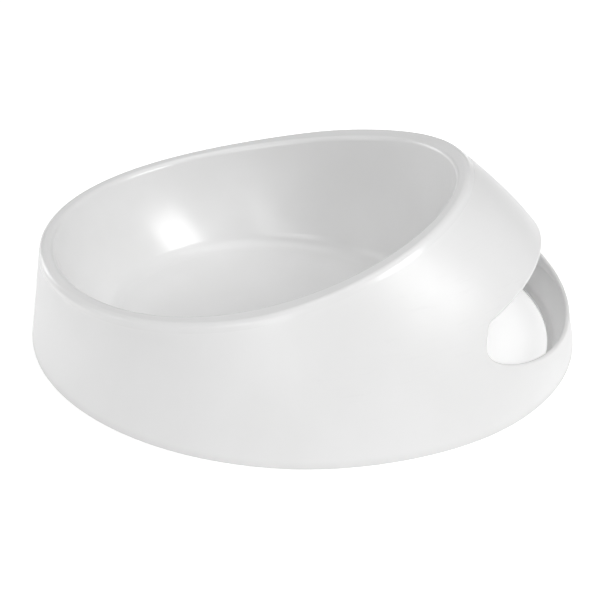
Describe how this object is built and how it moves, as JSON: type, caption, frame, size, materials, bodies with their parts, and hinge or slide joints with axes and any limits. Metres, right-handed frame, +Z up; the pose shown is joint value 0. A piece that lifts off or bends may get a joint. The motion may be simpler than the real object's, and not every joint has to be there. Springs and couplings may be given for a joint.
{
  "type": "handled bowl",
  "caption": "Round white plastic bowl in a flared hollow shell, with a slanted narrow rim and a finger slot that leaves a handle band at the high side.",
  "frame": {"origin": "on the table surface, at the centre of the round base", "axes": "+Z up; +X towards the high side with the handle band; the bowl is symmetric about the XZ plane"},
  "size_m": [0.2599, 0.2596, 0.0843],
  "materials": {
    "shell_plastic": "white, satin with a very fine spark grain",
    "bowl_plastic": "white, smooth semi-gloss",
    "pad_rubber": "light grey, matt"
  },
  "bodies": {
    "root": {"outer_shell": "shell_plastic", "bowl": "bowl_plastic", "foot_pad_1": "pad_rubber", "foot_pad_2": "pad_rubber", "foot_pad_3": "pad_rubber", "foot_pad_4": "pad_rubber"}
  },
  "joints": []
}
